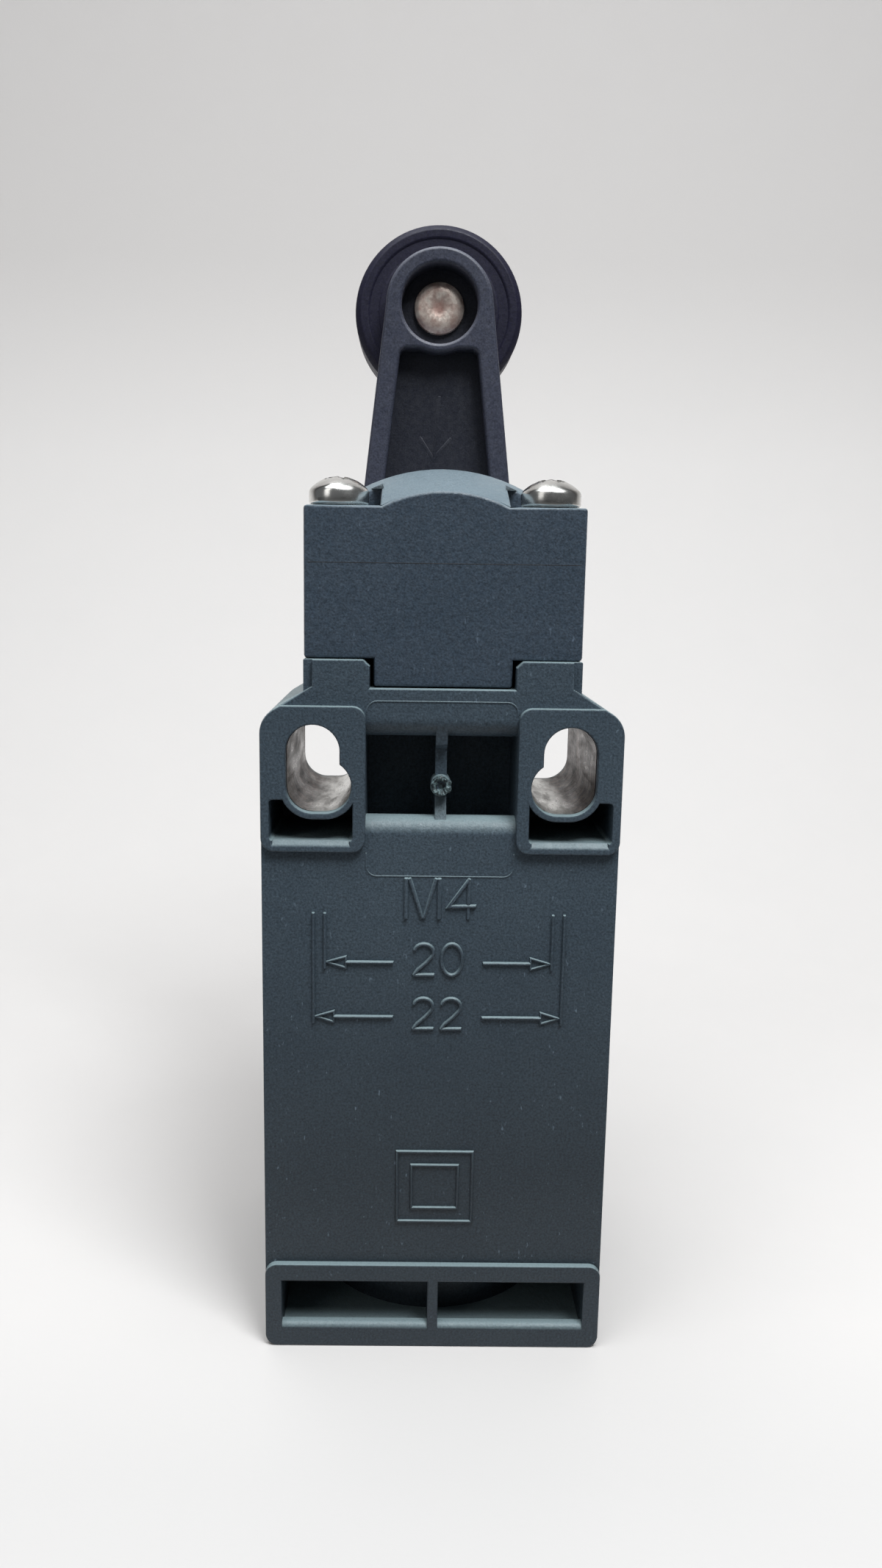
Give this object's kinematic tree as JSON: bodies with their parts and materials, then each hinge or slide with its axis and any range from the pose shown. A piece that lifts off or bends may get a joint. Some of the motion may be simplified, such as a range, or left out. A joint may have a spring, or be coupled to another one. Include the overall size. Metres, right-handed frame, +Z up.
{
  "type": "roller lever limit switch",
  "caption": "Moulded limit switch with a rotary head, a spring-return lever with a roller, fixing holes through its ears and a threaded cable entry.",
  "frame": {"origin": "middle of the pair of fixing holes, on the fixing face", "axes": "-Y out of the fixing face, +Y towards the lever, +Z up along the body towards the head, X across the body"},
  "size_m": [0.031, 0.0483, 0.1095],
  "materials": {
    "body_plastic": "matte",
    "cover_plastic": "matte",
    "lever_plastic": "satin",
    "roller_plastic": "satin",
    "bush_metal": "satin",
    "zinc_screw": "satin",
    "shaft_steel": "satin",
    "bearing_brass": "satin",
    "pin_metal": "satin",
    "spring_steel": "satin",
    "seal_rubber": "matte",
    "white_plastic": "satin",
    "block_plastic": "satin",
    "lid_plastic": "satin",
    "red_plastic": "satin",
    "contact_brass": "satin"
  },
  "bodies": {
    "body": {"housing": "body_plastic", "fixing_bush_left": "bush_metal", "fixing_bush_right": "bush_metal", "front_cover": "cover_plastic", "cover_gasket": "seal_rubber", "cover_screw": "zinc_screw", "head_housing": "body_plastic", "head_gasket": "seal_rubber", "head_screws": "zinc_screw", "shaft_bush": "bearing_brass", "shaft_seal": "seal_rubber", "return_spring": "spring_steel", "contact_block": "block_plastic", "contact_lid": "lid_plastic", "plunger_spring": "spring_steel", "terminal_upper_left": "contact_brass", "terminal_upper_right": "contact_brass", "terminal_lower_left": "contact_brass", "terminal_lower_right": "contact_brass", "clamp_washers": "zinc_screw", "terminal_screws": "zinc_screw"},
    "lever": {"shaft": "shaft_steel", "lever_arm": "lever_plastic", "lever_washer": "zinc_screw", "lever_screw": "zinc_screw", "roller_pin": "pin_metal"},
    "roller": {"roller": "roller_plastic", "roller_bush": "bearing_brass"},
    "follower": {"follower": "white_plastic"},
    "plunger": {"plunger": "red_plastic", "bridge": "contact_brass", "contact_spring": "spring_steel"}
  },
  "joints": [
    {"name": "lever_swing", "type": "hinge", "parent": "body", "child": "lever", "pos_m": [0, 0.0355, 0.017], "axis": [0, 1, 0], "range_deg": [-70, 70], "stiffness_Nm_per_rad": 0.08},
    {"name": "roller_spin", "type": "hinge", "parent": "lever", "child": "roller", "pos_m": [0, 0.0435, 0.047], "axis": [0, 1, 0], "continuous": true},
    {"name": "follower_slide", "type": "slide", "parent": "body", "child": "follower", "axis": [0, 0, -1], "range_m": [0, 0.0024], "stiffness_N_per_m": 1500, "deforming": ["return_spring"]},
    {"name": "plunger_slide", "type": "slide", "parent": "body", "child": "plunger", "axis": [0, 0, -1], "range_m": [0, 0.0024], "stiffness_N_per_m": 300, "deforming": ["plunger_spring"]}
  ],
  "couplings": [
    {"joint": "plunger_slide", "follows": "follower_slide", "ratio": 1}
  ]
}
